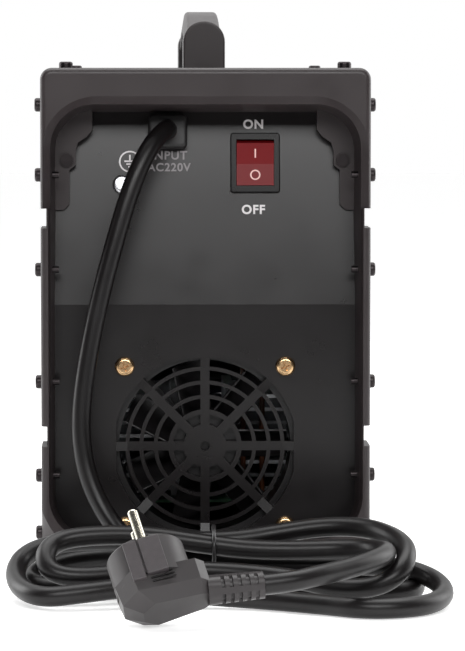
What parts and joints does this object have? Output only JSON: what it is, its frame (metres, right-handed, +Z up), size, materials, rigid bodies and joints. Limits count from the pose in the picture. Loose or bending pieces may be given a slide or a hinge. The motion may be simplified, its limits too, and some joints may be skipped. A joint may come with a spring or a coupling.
{
  "type": "stick welding inverter",
  "caption": "Portable stick welding inverter with a metal cover, moulded end frames, rear fan grille, rocker switch, top handle and a mains cord tied in a hank.",
  "frame": {"origin": "centre of the machine's footprint, on the surface that its feet stand on", "axes": "+Z up, +Y towards the front with the output sockets, -Y towards the rear panel with the mains cord, +X to the right when looking at the rear panel"},
  "size_m": [0.2127, 0.5171, 0.287],
  "materials": {
    "cover_paint": "fine textured powder coat",
    "frame_plastic": "moulded with a fine spark texture",
    "panel_plastic": "moulded with a fine spark texture",
    "black_screws": "black zinc",
    "yellow_zinc": "yellow zinc",
    "bright_zinc": "bright zinc",
    "foot_rubber": "matt",
    "fan_plastic": "glass filled nylon",
    "copper": "copper",
    "switch_black": "polished",
    "rocker_red": "tinted and polished",
    "terminal_metal": "tinned",
    "gland_plastic": "nylon",
    "cord_jacket": "satin",
    "tie_plastic": "plastic covered wire",
    "plug_rubber": "moulded, satin",
    "socket_plastic": "moulded",
    "socket_brass": "turned",
    "dial_plastic": "moulded",
    "smoked_window": "smoked acrylic",
    "lens_amber": "tinted",
    "circuit_board": "green solder mask",
    "sink_aluminium": "extruded",
    "capacitor_sleeve": "shrink sleeve",
    "ferrite": "sintered",
    "lead_jacket": "wire insulation"
  },
  "bodies": {
    "machine": {"base_tray": "cover_paint", "board_standoffs": "bright_zinc", "bridge_rectifier": "socket_plastic", "busbars": "copper", "capacitors": "capacitor_sleeve", "control_board": "circuit_board", "cord_gland": "gland_plastic", "cord_hank": "cord_jacket", "cord_tail": "cord_jacket", "cord_tie": "tie_plastic", "cover_shell": "cover_paint", "dial_nut": "bright_zinc", "display_board": "circuit_board", "display_spacers": "bright_zinc", "display_window": "smoked_window", "earth_screw": "bright_zinc", "fan_bearings": "bright_zinc", "fan_housing": "fan_plastic", "fan_lead": "lead_jacket", "fan_screws": "yellow_zinc", "fan_stator": "copper", "feet": "foot_rubber", "foot_screws": "bright_zinc", "frame_screws": "black_screws", "front_frame": "frame_plastic", "front_panel": "panel_plastic", "gland_nut": "gland_plastic", "handle": "frame_plastic", "handle_screws": "bright_zinc", "heatsinks": "sink_aluminium", "hex_nuts": "bright_zinc", "indicator_lenses": "lens_amber", "mains_cord": "cord_jacket", "mains_leads": "lead_jacket", "output_inductor": "copper", "output_sockets": "socket_plastic", "panel_screws": "black_screws", "plug_body": "plug_rubber", "plug_earth_clips": "terminal_metal", "plug_pins": "terminal_metal", "plug_strain_relief": "plug_rubber", "potentiometer": "socket_plastic", "power_board": "circuit_board", "power_transistors": "socket_plastic", "rear_frame": "frame_plastic", "rear_panel": "panel_plastic", "socket_inserts": "socket_brass", "socket_nuts": "socket_brass", "switch_housing": "switch_black", "switch_leads": "lead_jacket", "switch_terminals": "terminal_metal", "transformer_core": "ferrite", "transformer_winding": "copper"},
    "fan": {"fan_rotor": "fan_plastic", "fan_shaft": "bright_zinc"},
    "rocker": {"switch_rocker": "rocker_red"},
    "dial": {"current_dial": "dial_plastic", "dial_shaft": "bright_zinc"}
  },
  "joints": [
    {"name": "fan_spin", "type": "hinge", "parent": "machine", "child": "fan", "pos_m": [0, -0.118, 0.0616], "axis": [0, 1, 0], "continuous": true},
    {"name": "rocker_tilt", "type": "hinge", "parent": "machine", "child": "rocker", "pos_m": [0.026, -0.12287, 0.20658], "axis": [-1, 0, 0], "range_deg": [0, 18]},
    {"name": "dial_turn", "type": "hinge", "parent": "machine", "child": "dial", "pos_m": [0, 0.145, 0.105], "axis": [0, 1, 0], "range_deg": [0, 300]}
  ]
}
